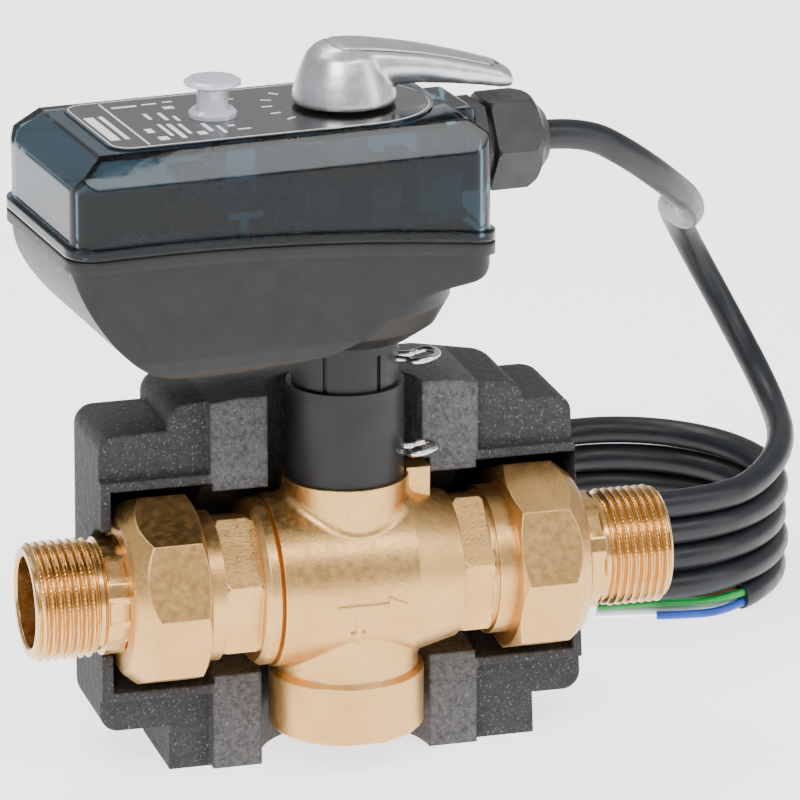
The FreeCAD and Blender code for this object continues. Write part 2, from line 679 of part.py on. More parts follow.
# ---------------------------------------------------------------- drive line
def drive_coupling():
    body = turned_z([(0, SPIGOT_TOP + 0.3), (COUPLING_R - 0.5, SPIGOT_TOP + 0.3),
                     (COUPLING_R, SPIGOT_TOP + 0.8), (COUPLING_R, COUPLING_TOP), (0, COUPLING_TOP)])
    flats = cyl_z(STEM_R, 30, STEM_TOP).common(
        block(-8, 8, -STEM_FLATS / 2, STEM_FLATS / 2, 30, STEM_TOP))
    half = SQUARE / 2
    square = block(-half, half, -half, half, COUPLING_TOP - 7, COUPLING_TOP + 1)
    return body.cut([flats, square])


def output_shaft():
    half = SQUARE / 2
    square = block(-half, half, -half, half, COUPLING_TOP - 7, COUPLING_TOP)
    return square.fuse(cyl_z(SHAFT_R, COUPLING_TOP, SHAFT_TOP))


def shaft_bearing():
    return ring_z(7.0, SHAFT_R + RUN, SOCKET_TOP, 58.0).fuse(ring_z(9.0, SHAFT_R + RUN, 58.0, 60.0))


def output_gear():
    """Toothed sector on the -X side, on a hub round the shaft."""
    first = round(radians(80) / (2 * pi / OUTPUT_TEETH))
    count = 14
    outline = gear_outline(COARSE, OUTPUT_TEETH, OUTPUT_PHASE, 0, 0, first, count)
    sector = plan_prism(outline + [(0, 0)], 79.0, 81.5)
    hub = cyl_z(7.5, 77.0, 83.5)
    return sector.fuse(hub).cut(cyl_z(SHAFT_R, 70, 90))


def cam():
    disc = cyl_z(8.0, 92.0, 95.0)
    lobe = cyl_z(2.5, 92.0, 95.0, 7.9, 0)
    return disc.fuse(lobe).cut(cyl_z(SHAFT_R, 90, 97))


def gear_clutch():
    at = CLUTCH_AT
    bore = AXLE_R + 0.03
    wheel = spur_gear(FINE, CLUTCH_TEETH, CLUTCH_PHASE, at, 76.0, 78.0, bore)
    pinion = spur_gear(COARSE, CLUTCH_PINION_TEETH, CLUTCH_PHASE, at, 78.0, 82.0, bore)
    return wheel.fuse(pinion)


def gear_first():
    at = FIRST_AT
    bore = AXLE_R + 0.03
    wheel = spur_gear(FINE, FIRST_TEETH, FIRST_PHASE, at, 73.0, 75.0, bore)
    neck = ring_z(2.2, bore, 75.0, 75.6, *at)
    pinion = spur_gear(FINE, PINION_TEETH, FIRST_PHASE, at, 75.6, 79.0, bore)
    return fused([wheel, neck, pinion])


def motor_pinion():
    """Pinion and the rotor shaft that it is pressed on."""
    pinion = plan_prism(gear_outline(FINE, PINION_TEETH, MOTOR_PHASE, *MOTOR_AT), 72.8, 75.6)
    return pinion.fuse(cyl_z(1.0, 66.0, 72.8, *MOTOR_AT))


def motor():
    can = turned_z([(0, 62), (10.5, 62), (11.5, 63), (11.5, 70), (0, 70)], *MOTOR_AT)
    boss = cyl_z(3.5, 70, PLATE[0], *MOTOR_AT)
    return can.fuse(boss).cut(cyl_z(1.0 + RUN, 66, 72, *MOTOR_AT))


def gearbox_plate():
    plate = rounded_plan(-58, 9.5, -18.6, 18.6, 3, *PLATE)
    holes = [cyl_z(SHAFT_R + PLAY, 70, 73), cyl_z(1.0 + PLAY, 70, 73, *MOTOR_AT)]
    holes += [cyl_z(AXLE_R, 70, 73, *at) for at in (CLUTCH_AT, FIRST_AT)]
    holes += [cyl_z(1.3, 70, 73, x, y) for x, y in SCREWS]
    return plate.cut(holes)


def gear_axles():
    clutch = cyl_z(AXLE_R, PLATE[0], 83.5, *CLUTCH_AT).fuse(
        cyl_z(2.6, PLATE[1], 76.0 - RUN, *CLUTCH_AT))
    first = cyl_z(AXLE_R, PLATE[0], 80.0, *FIRST_AT).fuse(
        cyl_z(2.6, PLATE[1], 73.0 - RUN, *FIRST_AT))
    return Part.makeCompound([clutch, first])


def plate_screws():
    heads = [cyl_z(2.4, PLATE[1], 74.0, x, y).fuse(cyl_z(1.3, 66, PLATE[1], x, y))
             for x, y in SCREWS]
    slots = [block(x - 3, x + 3, y - 0.35, y + 0.35, 73.3, 75) for x, y in SCREWS]
    return Part.makeCompound([head.cut(slot) for head, slot in zip(heads, slots)])


# ---------------------------------------------------------------- electrics
def circuit_board():
    board = rounded_plan(-20.5, 21, -20.5, 20.5, 2, *BOARD)
    return board.cut([cyl_z(8.2, 80, 90)] + [cyl_z(1.2, 80, 90, x, y) for x, y in BOARD_POSTS])


def board_posts():
    posts = [cyl_z(1.6, PLATE[1], BOARD[0], x, y).fuse(cyl_z(1.2, BOARD[0], 87.6, x, y))
             for x, y in BOARD_POSTS]
    return Part.makeCompound(posts)


def board_components():
    top = BOARD[1]
    relay = block(-1.5, 5.2, -20.2, -13.2, top, 94)
    coil = block(-14.5, -7.0, -14.5, -7.5, top, 93)
    can_large = cyl_z(3.6, top, 97, -13.5, 9.5)
    can_small = cyl_z(2.4, top, 94, -6, 16.5)
    chips = [block(x, x + 2.6, y, y + 1.4, top, top + 1.2)
             for x in (-17.5, -13.0) for y in (-4, 0, 3)]
    resistors = [cyl_y(0.9, 13.5, 18.5, x, top + 0.9) for x in (0.0, 2.6, 5.2)]
    return Part.makeCompound([relay, coil, can_large, can_small] + chips + resistors)


def microswitches():
    along_y = block(-5, 5, 11.0, 15.0 - 2.2, BOARD[1], 95.0)
    along_x = block(11.0, 15.5, -5, 5, BOARD[1], 95.0)
    return Part.makeCompound([along_y, along_x])


def terminal_block():
    body = block(9.5, 19.5, -19.5, -13.0, BOARD[1], 94.5)
    screws = [cyl_z(1.2, 93.5, 96, x, -16.2) for x in (11.3, 14.5, 17.7)]
    return body.cut(screws)


# ---------------------------------------------------------------- controls
def lever_blank():
    """Lever with a round hub, seen from the front cut to its flowing outline."""
    top = Part.BSplineCurve()
    top.interpolate([V(x, -15, z) for x, z in LEVER_TOP])
    under = Part.BSplineCurve()
    under.interpolate([V(x, -15, z) for x, z in LEVER_UNDER])
    base = Part.makePolygon([under.EndPoint, V(LEVER_HUB_R, -15, LEVER_BASE),
                             V(-LEVER_HUB_R, -15, LEVER_BASE), top.StartPoint])
    side = Part.Face(Part.Wire([top.toShape(), under.toShape()] + base.Edges))
    side = side.extrude(V(0, 30, 0))
    hub = turned_z([(0, LEVER_BASE), (LEVER_HUB_R, LEVER_BASE), (LEVER_HUB_R, 109.8), (10.4, 114.6),
                    (9.2, 119), (7.0, 122.4), (0, 122.4)])
    plan = plan_prism([(-4, -8.4), (6, -8.0), (16, -6.6), (28, -5.6), (35.6, -5.2), (37.8, -3.6),
                       (38.6, 0), (37.8, 3.6), (35.6, 5.2), (28, 5.6), (16, 6.6), (6, 8.0),
                       (-4, 8.4)], LEVER_BASE, 124)
    return side.common(hub.fuse(plan)).cut(cyl_z(SHAFT_R, 100, SHAFT_TOP))


def insert_zone():
    band = front_prism([(-14, 119.4), (-4, 118.7), (6, 117.3), (20.8, 113.7), (30, 111.1),
                        (45, 108.0), (45, 130), (-14, 130)], -8, 8)
    plan = plan_prism([(-6.5, -5.8), (6, -6.2), (16, -5.2), (34, -4.2), (34, 4.2), (16, 5.2),
                       (6, 6.2), (-6.5, 5.8)], 100, 130)
    return band.common(plan)


def release_button():
    x, y = CLUTCH_AT
    return turned_z([(0, 88.5), (1.5, 88.5), (1.5, 100), (3.45, 100), (3.45, 113.6), (5.0, 114.2),
                     (6.2, 114.6), (6.2, 115.2), (5.4, 115.7), (0, 115.7)], x, y)


def button_bush():
    x, y = CLUTCH_AT
    bore = 3.5
    return turned_z([(bore, 104.0), (4.4, 104.0), (4.4, LABEL_TOP), (5.2, LABEL_TOP),
                     (5.2, 108.4), (4.4, 109.2), (bore, 109.2)], x, y)


def button_spring():
    x, y = CLUTCH_AT
    return ring_z(3.2, 2.0, 91.5, 100.0, x, y)


def button_bracket():
    x, y = CLUTCH_AT
    bridge = block(x - 4, x + 4, -20.4, 20.4, 90.0, 91.5)
    legs = [cyl_z(1.6, PLATE[1], 90.0, x, side * 18.4) for side in (-1, 1)]
    return fused([bridge] + legs).cut(cyl_z(1.6, 89, 92, x, y))


def clutch_fork():
    """Red fork under the bracket that the button's pin passes through."""
    x, y = CLUTCH_AT
    fork = block(x - 12, x + 3.5, -10, -3.0, 85.5, 90.0)
    arm = block(x - 3.5, x + 3.5, -3.0, 5.0, 88.0, 90.0)
    return fork.fuse(arm).cut(cyl_z(1.8, 80, 92, x, y))


# ---------------------------------------------------------------- cable gland
def gland_body():
    thread = cyl_x(GLAND_THREAD_R, 19.0, GLAND_BOSS_X, 0, GLAND_Z)
    flange = hexagon_x(GLAND_FLATS, GLAND_BOSS_X, 30.6, GLAND_Z, turn=0)
    sleeve = cyl_x(7.0, 30.6, 40.0, 0, GLAND_Z)
    return fused([thread, flange, sleeve]).cut(cyl_x(CABLE_R + 0.1, 18, 41, 0, GLAND_Z))


def gland_locknut():
    nut = cyl_x(7.0, 19.2, 22.0, 0, GLAND_Z)
    return nut.cut(cyl_x(GLAND_THREAD_R, 19, 23, 0, GLAND_Z))


def gland_seal():
    seal = cyl_x(8.4, 30.6, 31.8, 0, GLAND_Z)
    return seal.cut(cyl_x(7.0, 29, 32, 0, GLAND_Z))


def gland_nut():
    blank = hexagon_x(GLAND_NUT_FLATS, 31.8, CABLE_EXIT_X, GLAND_Z, turn=0)
    dome = turned_x([(31.8, 0), (31.8, 10.7), (32.6, 11.4), (40.4, 11.4), (42.4, 10.2),
                     (43.9, 8.0), (CABLE_EXIT_X, 6.0), (CABLE_EXIT_X, 0)])
    dome.translate(V(0, 0, GLAND_Z))
    nut = blank.common(dome)
    return nut.cut([cyl_x(7.0, 31, 40.2, 0, GLAND_Z), cyl_x(CABLE_R + 0.1, 40, 47, 0, GLAND_Z)])


# ---------------------------------------------------------------- cable
def cord_coil():
    height = 2 * CABLE_R + COIL_RISE * COIL_PITCH
    floor = -PIPE_HEIGHT
    return ring_z(COIL_R + CABLE_R, COIL_R - CABLE_R, floor, floor + height, *COIL_AT)


def core_points(route):
    """Route of a stripped core, from (ahead, sideways, height) steps."""
    end = radians(COIL_END)
    origin = V(COIL_AT[0] + COIL_R * cos(end), COIL_AT[1] + COIL_R * sin(end), -PIPE_HEIGHT)
    ahead = V(sin(end), -cos(end), 0)
    aside = V(ahead.y, -ahead.x, 0)
    return [tuple(origin + ahead * a + aside * s + Z_AXIS * h) for a, s, h in route]


# ---------------------------------------------------------------- build
def fixed_parts():
    """Nodes that keep to the pipe's own axes."""
    parts = {
        "valve_body": valve_body(),
        "end_connector": end_connector(),
        "connector_oring": connector_oring(),
        "ball": ball(),
        "seat_right": seat_right(),
        "seat_left": mirror_x(seat_right()),
        "seat_bottom": seat_bottom(),
        "stem": stem(),
        "stem_orings": stem_orings(),
        "rear_insulation_shell": insulation_shell(),
        "adapter_sleeve": adapter_sleeve(),
        "lower_clip": wire_clip(CLIP_HEIGHTS["lower_clip"]),
        "drive_coupling": drive_coupling(),
        "output_shaft": output_shaft(),
        "cord_lead": tube(LEAD_ROUTE, CABLE_R),
        "cord_coil": cord_coil(),
    }
    for side, place in (("right", lambda shape: shape), ("left", mirror_x)):
        parts["union_nut_" + side] = place(union_nut())
        parts["gasket_" + side] = place(gasket())
        parts["tailpiece_" + side] = place(tailpiece())
    for name, route in CORE_ROUTES.items():
        parts[name] = tube(core_points(route), CORE_R)
    return parts


def actuator_parts():
    """Nodes that turn on the neck with the actuator."""
    blank = lever_blank()
    return {
        "actuator_socket": actuator_socket(),
        "upper_clip": wire_clip(CLIP_HEIGHTS["upper_clip"]),
        "lower_housing": lower_housing(),
        "cover": cover(),
        "cover_gasket": cover_gasket(),
        "label_plate": label_plate(),
        "shaft_bearing": shaft_bearing(),
        "output_gear": output_gear(),
        "cam": cam(),
        "gear_clutch": gear_clutch(),
        "gear_first": gear_first(),
        "motor_pinion": motor_pinion(),
        "motor": motor(),
        "gearbox_plate": gearbox_plate(),
        "gear_axles": gear_axles(),
        "plate_screws": plate_screws(),
        "circuit_board": circuit_board(),
        "board_posts": board_posts(),
        "board_components": board_components(),
        "microswitches": microswitches(),
        "terminal_block": terminal_block(),
        "manual_lever": blank.cut(insert_zone()),
        "lever_insert": blank.common(insert_zone()),
        "release_button": release_button(),
        "button_bush": button_bush(),
        "button_spring": button_spring(),
        "button_bracket": button_bracket(),
        "clutch_fork": clutch_fork(),
        "gland_body": gland_body(),
        "gland_locknut": gland_locknut(),
        "gland_seal": gland_seal(),
        "gland_nut": gland_nut(),
    }


def build():
    os.makedirs("parts", exist_ok=True)
    for name, shape in fixed_parts().items():
        save(name, shape)
    for name, shape in actuator_parts().items():
        save(name, shape, ACTUATOR_TURN)


build()
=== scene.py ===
import json
from math import cos, pi, radians, sin

import bpy
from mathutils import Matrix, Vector


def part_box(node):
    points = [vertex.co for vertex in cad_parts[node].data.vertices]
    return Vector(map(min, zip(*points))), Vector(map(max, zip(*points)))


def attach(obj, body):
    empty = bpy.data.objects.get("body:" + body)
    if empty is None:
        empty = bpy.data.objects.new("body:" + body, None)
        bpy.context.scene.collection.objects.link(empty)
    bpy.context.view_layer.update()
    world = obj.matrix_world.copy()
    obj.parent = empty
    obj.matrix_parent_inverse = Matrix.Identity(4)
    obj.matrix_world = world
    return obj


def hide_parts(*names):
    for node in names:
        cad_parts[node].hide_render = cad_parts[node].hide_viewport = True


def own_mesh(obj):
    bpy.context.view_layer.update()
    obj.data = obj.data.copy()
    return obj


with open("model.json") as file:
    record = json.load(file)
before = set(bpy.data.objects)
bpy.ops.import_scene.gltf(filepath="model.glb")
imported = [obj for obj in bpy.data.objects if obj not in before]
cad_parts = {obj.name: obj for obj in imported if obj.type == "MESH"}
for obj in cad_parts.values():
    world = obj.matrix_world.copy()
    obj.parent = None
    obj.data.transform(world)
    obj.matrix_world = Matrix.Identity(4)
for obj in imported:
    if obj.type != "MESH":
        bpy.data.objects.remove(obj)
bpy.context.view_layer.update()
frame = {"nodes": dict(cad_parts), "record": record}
MM = 0.001

# The pipe axis and the stem axis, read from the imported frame
_tail_low, _tail_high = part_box("tailpiece_left")
PIPE_Y = (_tail_low.y + _tail_high.y) / 2
PIPE_Z = (_tail_low.z + _tail_high.z) / 2
ACTUATOR_TURN = radians(5.0)


def at(x, y, z):
    """A point given in millimetres about the crossing of pipe and stem axes."""
    return Vector((x * MM, y * MM + PIPE_Y, z * MM + PIPE_Z))


def on_actuator(x, y, z):
    """A point given in millimetres on the actuator, which sits turned on the neck."""
    c, s = cos(ACTUATOR_TURN), sin(ACTUATOR_TURN)
    return at(x * c - y * s, x * s + y * c, z)


# ---------------------------------------------------------------- camera
CAMERA_AZIMUTH = -16.0
CAMERA_ELEVATION = 18.0
CAMERA_DISTANCE = 1.30
PIXELS_PER_MM = 4.52            # at the stem axis, in a picture 800 wide
PICTURE = 800
AXIS_AT = (345.5, 571.7)        # where the crossing of the axes falls in the picture
SENSOR = 36.0
CLIP_END = 10


def make_camera():
    a = radians(CAMERA_AZIMUTH)
    e = radians(CAMERA_ELEVATION)
    back = Vector((sin(a) * cos(e), -cos(a) * cos(e), sin(e)))
    camera = bpy.data.objects.new("camera", bpy.data.cameras.new("camera"))
    bpy.context.collection.objects.link(camera)
    camera.data.sensor_width = SENSOR
    camera.data.lens = PIXELS_PER_MM / MM * CAMERA_DISTANCE / PICTURE * SENSOR
    right = Vector((cos(a), sin(a), 0))
    up = back.cross(right)
    centre = PICTURE / 2
    aside = (centre - AXIS_AT[0]) / PIXELS_PER_MM * MM
    rise = (AXIS_AT[1] - centre) / PIXELS_PER_MM * MM
    target = at(0, 0, 0) + right * aside + up * rise
    camera.location = target + back * CAMERA_DISTANCE
    camera.rotation_mode = "QUATERNION"
    camera.rotation_quaternion = (-back).to_track_quat("-Z", "Y")
    camera.data.clip_end = CLIP_END
    bpy.context.scene.camera = camera


make_camera()

# ---------------------------------------------------------------- materials


def node_set(name):
    material = bpy.data.materials.new(name)
    material.use_nodes = True
    tree = material.node_tree
    return material, tree, tree.nodes["Principled BSDF"]


def noise(tree, scale, detail=4.0, rough=0.55):
    """Noise in the object's own space; scale is in cells per metre."""
    where = tree.nodes.new("ShaderNodeTexCoord")
    made = tree.nodes.new("ShaderNodeTexNoise")
    made.inputs["Scale"].default_value = scale
    made.inputs["Detail"].default_value = detail
    made.inputs["Roughness"].default_value = rough
    tree.links.new(where.outputs["Object"], made.inputs["Vector"])
    return made.outputs["Fac"]


def cells(tree, scale):
    """Round cells in the object's own space; scale is in cells per metre."""
    where = tree.nodes.new("ShaderNodeTexCoord")
    made = tree.nodes.new("ShaderNodeTexVoronoi")
    made.inputs["Scale"].default_value = scale
    tree.links.new(where.outputs["Object"], made.inputs["Vector"])
    return made.outputs["Distance"]


def ramp(tree, value, stops):
    """Colour for a value, from pairs of position and colour."""
    made = tree.nodes.new("ShaderNodeValToRGB")
    elements = made.color_ramp.elements
    while len(elements) < len(stops):
        elements.new(0.5)
    for element, (position, colour) in zip(elements, stops):
        element.position = position
        element.color = (*colour, 1)
    tree.links.new(value, made.inputs["Fac"])
    return made.outputs["Color"]


def spread(tree, value, low, high, start=0.35, end=0.65):
    """A value between start and end, stretched to run from low to high."""
    made = tree.nodes.new("ShaderNodeMapRange")
    made.inputs["From Min"].default_value = start
    made.inputs["From Max"].default_value = end
    made.inputs["To Min"].default_value = low
    made.inputs["To Max"].default_value = high
    tree.links.new(value, made.inputs["Value"])
    return made.outputs["Result"]


def soft_edges(tree, radius):
    """Normal that rounds sharp edges by this radius in millimetres."""
    made = tree.nodes.new("ShaderNodeBevel")
    made.samples = 6
    made.inputs["Radius"].default_value = radius * MM
    return made.outputs["Normal"]


def relief(tree, shader, value, height, below):
    """Bumps of this height in millimetres, laid over the normal below them."""
    made = tree.nodes.new("ShaderNodeBump")
    made.inputs["Strength"].default_value = 1.0
    made.inputs["Distance"].default_value = height * MM
    tree.links.new(value, made.inputs["Height"])
    tree.links.new(below, made.inputs["Normal"])
    tree.links.new(made.outputs["Normal"], shader.inputs["Normal"])
    return made.outputs["Normal"]


MIX_FIRST, MIX_SECOND, MIX_RESULT = 6, 7, 2     # the mix node's colour sockets


def mixed(tree, factor, first, second):
    """Two colours mixed by a factor; each is a tuple or a socket."""
    made = tree.nodes.new("ShaderNodeMix")
    made.data_type = "RGBA"
    tree.links.new(factor, made.inputs["Factor"])
    for value, socket in ((first, made.inputs[MIX_FIRST]), (second, made.inputs[MIX_SECOND])):
        if isinstance(value, tuple):
            socket.default_value = (*value, 1)
        else:
            tree.links.new(value, socket)
    return made.outputs[MIX_RESULT]


def edge_wear(tree, width):
    """1 near sharp edges, 0 on open faces."""
    soft = tree.nodes.new("ShaderNodeBevel")
    soft.samples = 4
    soft.inputs["Radius"].default_value = width * MM
    shape = tree.nodes.new("ShaderNodeNewGeometry")
    dot = tree.nodes.new("ShaderNodeVectorMath")
    dot.operation = "DOT_PRODUCT"
    tree.links.new(soft.outputs["Normal"], dot.inputs[0])
    tree.links.new(shape.outputs["Normal"], dot.inputs[1])
    return spread(tree, dot.outputs["Value"], 1.0, 0.0, 0.86, 0.985)


def plain(name, dark, light, rough, grain=400, height=0.03, metal=0.0, coat=0.0, specular=0.5,
          edge=0.25):
    """Moulded or plated surface: mottled colour, uneven roughness and fine relief."""
    material, tree, shader = node_set(name)
    fine = noise(tree, grain * 4)
    broad = noise(tree, grain / 4)
    tree.links.new(ramp(tree, broad, ((0.35, dark), (0.65, light))), shader.inputs["Base Color"])
    tree.links.new(spread(tree, noise(tree, grain), *rough), shader.inputs["Roughness"])
    relief(tree, shader, fine, height, soft_edges(tree, edge))
    shader.inputs["Metallic"].default_value = metal
    shader.inputs["Coat Weight"].default_value = coat
    shader.inputs["Coat Roughness"].default_value = 0.08
    shader.inputs["Specular IOR Level"].default_value = specular
    return material


BRASS_DEEP = (0.60, 0.345, 0.115)
BRASS_PALE = (0.72, 0.43, 0.16)
BRASS_WORN = (0.86, 0.60, 0.28)


def brass(name, grain, height, rough, edge):
    """Yellow brass; grain and height set a cast or a turned finish."""
    material, tree, shader = node_set(name)
    tint = ramp(tree, noise(tree, 60, 5), ((0.3, BRASS_DEEP), (0.7, BRASS_PALE)))
    worn = mixed(tree, edge_wear(tree, 0.4), tint, BRASS_WORN)
    tree.links.new(worn, shader.inputs["Base Color"])
    tree.links.new(spread(tree, noise(tree, grain * 0.4), *rough), shader.inputs["Roughness"])
    cast = relief(tree, shader, noise(tree, grain, 3), height, soft_edges(tree, edge))
    relief(tree, shader, noise(tree, 120, 2), height * 2, cast)
    shader.inputs["Metallic"].default_value = 1.0
    return material


FOAM_CUT_HALF = 0.0300          # half length of the paler cut face, in metres
FOAM_CUT_FADE = 0.0312
FOAM_FLECK = (0.20, 0.20, 0.205)


def foam(name):
    """Expanded foam: fine grain with pale flecks, and a paler cut face about the stem."""
    material, tree, shader = node_set(name)
    where = tree.nodes.new("ShaderNodeTexCoord")
    split = tree.nodes.new("ShaderNodeSeparateXYZ")
    tree.links.new(where.outputs["Object"], split.inputs["Vector"])
    away = tree.nodes.new("ShaderNodeMath")
    away.operation = "ABSOLUTE"
    tree.links.new(split.outputs["X"], away.inputs[0])
    middle = spread(tree, away.outputs["Value"], 1.0, 0.0, FOAM_CUT_HALF, FOAM_CUT_FADE)
    grain = noise(tree, 900, 5, 0.75)
    skin = ramp(tree, grain, ((0.35, (0.014, 0.014, 0.015)), (0.62, (0.042, 0.042, 0.043))))
    cut = ramp(tree, grain, ((0.35, (0.030, 0.030, 0.031)), (0.60, (0.100, 0.100, 0.102))))
    tone = mixed(tree, middle, skin, cut)
    fleck = spread(tree, noise(tree, 1700, 2, 0.8), 0.0, 0.75, 0.60, 0.70)
    tree.links.new(mixed(tree, fleck, tone, FOAM_FLECK), shader.inputs["Base Color"])
    tree.links.new(spread(tree, grain, 0.6, 0.9), shader.inputs["Roughness"])
    shader.inputs["Specular IOR Level"].default_value = 0.3
    beads = relief(tree, shader, cells(tree, 330), 0.25, soft_edges(tree, 1.2))
    relief(tree, shader, noise(tree, 1100, 4), 0.18, beads)
    return material


SMOKE_DEEP = (0.055, 0.105, 0.135)
SMOKE_PALE = (0.090, 0.150, 0.185)
SMOKE_IOR = 1.3


def smoked(name):
    """Dark tinted clear plastic."""
    material, tree, shader = node_set(name)
    tint = ramp(tree, noise(tree, 25), ((0.35, SMOKE_DEEP), (0.65, SMOKE_PALE)))
    tree.links.new(tint, shader.inputs["Base Color"])
    tree.links.new(spread(tree, noise(tree, 90), 0.02, 0.05), shader.inputs["Roughness"])
    relief(tree, shader, noise(tree, 60), 0.02, soft_edges(tree, 0.9))
    shader.inputs["Transmission Weight"].default_value = 1.0
    shader.inputs["IOR"].default_value = SMOKE_IOR
    return material


MATERIALS = {
    "brass": brass("brass_cast", 1500, 0.05, (0.30, 0.42), 0.5),
    "turned": brass("brass_turned", 900, 0.010, (0.20, 0.30), 0.12),
    "ball_chrome": plain("ball_plating", (0.7, 0.7, 0.72), (0.8, 0.8, 0.8),
        (0.08, 0.16), 300, 0.004, 1.0),
    "ptfe": plain("ptfe", (0.85, 0.85, 0.82), (0.92, 0.92, 0.9), (0.4, 0.5)),
    "seal_rubber": plain("seal_rubber", (0.012, 0.012, 0.012), (0.03, 0.03, 0.03), (0.5, 0.7)),
    "gasket_fibre": plain("gasket_fibre", (0.22, 0.28, 0.25), (0.34, 0.40, 0.36),
        (0.7, 0.9), 900, 0.06),
    "foam": foam("foam"),
    "black_plastic": plain("neck_plastic", (0.006, 0.0063, 0.007), (0.011, 0.0115, 0.0125),
        (0.36, 0.46), 500, 0.02, specular=0.3),
    "spring_steel": plain("spring_steel", (0.55, 0.55, 0.56), (0.75, 0.75, 0.76),
        (0.15, 0.3), 700, 0.01, 1.0),
    "housing_plastic": plain("housing_plastic", (0.006, 0.006, 0.006), (0.010, 0.010, 0.0097),
        (0.38, 0.48), 800, 0.03, specular=0.32, edge=1.2),
    "smoked_cover": smoked("smoked_cover"),
    "label_black": plain("label_black", (0.004, 0.004, 0.004), (0.009, 0.009, 0.009),
        (0.12, 0.2), 300, 0.004, coat=0.5),
    "steel": plain("zinc_steel", (0.45, 0.46, 0.48), (0.62, 0.63, 0.65), (0.25, 0.4), 500, 0.01, 1.0),
    "white_plastic": plain("acetal_white", (0.78, 0.77, 0.72), (0.88, 0.87, 0.83), (0.3, 0.45)),
    "red_plastic": plain("red_plastic", (0.5, 0.03, 0.02), (0.7, 0.06, 0.04), (0.25, 0.4)),
    "board_green": plain("board_teal", (0.01, 0.16, 0.17), (0.02, 0.26, 0.27),
        (0.2, 0.35), 600, 0.01, coat=0.4),
    "component_grey": plain("component_grey", (0.12, 0.20, 0.24), (0.2, 0.32, 0.36), (0.25, 0.4)),
    "component_black": plain("component_black", (0.02, 0.02, 0.02), (0.04, 0.04, 0.04), (0.3, 0.5)),
    "terminal_teal": plain("terminal_teal", (0.01, 0.25, 0.27), (0.02, 0.38, 0.40), (0.3, 0.4)),
    "lever_silver": plain("lever_silver", (0.50, 0.51, 0.53), (0.60, 0.61, 0.63),
        (0.28, 0.36), 900, 0.006, 0.9, 0.1),
    "button_white": plain("button_pale", (0.56, 0.58, 0.64), (0.68, 0.70, 0.76),
        (0.15, 0.25), 400, 0.006, 0.2, 0.4),
    "gland_plastic": plain("gland_plastic", (0.022, 0.022, 0.022), (0.034, 0.034, 0.033),
        (0.35, 0.5), 700, 0.02, specular=0.35),
    "cable_black": plain("cable_sheath", (0.008, 0.009, 0.011), (0.014, 0.016, 0.019),
        (0.34, 0.45), 300, 0.015, specular=0.35),
    "core_green": plain("core_green", (0.0, 0.26, 0.03), (0.01, 0.33, 0.06), (0.3, 0.42)),
    "core_brown": plain("core_brown", (0.20, 0.09, 0.04), (0.28, 0.13, 0.06), (0.3, 0.42)),
    "core_white": plain("core_white", (0.80, 0.80, 0.82), (0.88, 0.88, 0.9), (0.3, 0.42)),
    "core_blue": plain("core_blue", (0.01, 0.05, 0.36), (0.02, 0.09, 0.48), (0.3, 0.42)),
    "print_white": plain("print_white", (0.80, 0.80, 0.80), (0.9, 0.9, 0.9), (0.35, 0.5)),
}


def dress(obj, material):
    obj.data.materials.clear()
    obj.data.materials.append(MATERIALS[material])


def dress_nodes():
    """Every CAD node takes the material of its slot."""
    for part in frame["record"]["subparts"]:
        dress(frame["nodes"][part["node"]], part["material_slot"])


dress_nodes()


def add(name, mesh_or_curve, body, slot_name, material=None, replaces=()):
    piece = bpy.data.objects.new(name, mesh_or_curve)
    bpy.context.collection.objects.link(piece)
    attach(piece, body)
    dress(piece, material or slot_name)
    if replaces:
        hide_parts(*replaces)
    return piece


# ---------------------------------------------------------------- shapes


def mesh_of(name, points, faces, crease=30):
    mesh = bpy.data.meshes.new(name)
    mesh.from_pydata(points, [], faces)
    mesh.validate()
    mesh.shade_smooth()
    mesh.set_sharp_from_angle(angle=radians(crease))
    return mesh


def ring_faces(rows, around, closed):
    """Quads between rings of points; the last ring joins the first when closed."""
    faces = []
    for row in range(rows if closed else rows - 1):
        here = row * around
        there = (row + 1) % rows * around
        for i in range(around):
            j = (i + 1) % around
            faces.append((here + i, here + j, there + j, there + i))
    return faces


def end_faces(rows, around):
    """The two faces that shut a stack of rings."""
    return [tuple(range(around))[::-1], tuple((rows - 1) * around + i for i in range(around))]


def moved(faces, first):
    """The same faces, for points that start at this number."""
    return [tuple(first + i for i in face) for face in faces]


def settled(name, data, modifiers):
    """The mesh that is left when these modifiers have acted on it."""
    holder = bpy.data.objects.new(name, data)
    bpy.context.collection.objects.link(holder)
    for kind, settings in modifiers:
        made = holder.modifiers.new(kind.lower(), kind)
        for key, value in settings.items():
            setattr(made, key, value)
    graph = bpy.context.evaluated_depsgraph_get()
    mesh = bpy.data.meshes.new_from_object(holder.evaluated_get(graph), depsgraph=graph)
    bpy.data.objects.remove(holder)
    return mesh


# ---------------------------------------------------------------- pipe threads
THREAD_PITCH = 1.814
THREAD_DEPTH = 1.16
THREAD_R = 13.22
THREAD_FROM = 58.0
THREAD_TO = 72.5
FLANK_FROM = 0.14               # half the crest's width, as a share of half the pitch
FLANK_SHARE = 0.72              # the flank's length, as a share of half the pitch
CREST_CUT = 0.35                # the serration fades out at this share of the thread depth
CHAMFER = 1.3
RUNOUT_R = 11.9
RUNOUT_SLOPE = 1.5
BARREL_FLATS = 25.0             # across the flats
FLATS = 8
TEETH = 84                      # fine serration on the crests
TOOTH_DEPTH = 0.1
AROUND = TEETH * 4
ROWS_PER_PITCH = 10
TAIL_START = ((72.0, 10.1), (43.0, 10.1), (43.0, 16.2), (46.0, 16.2), (46.0, 13.0), (51.2, 13.0))
TAIL_FLATS = ((51.6, 13.0), (56.2, 13.0))
TAIL_GROOVE = ((56.6, 13.0), (57.2, RUNOUT_R))
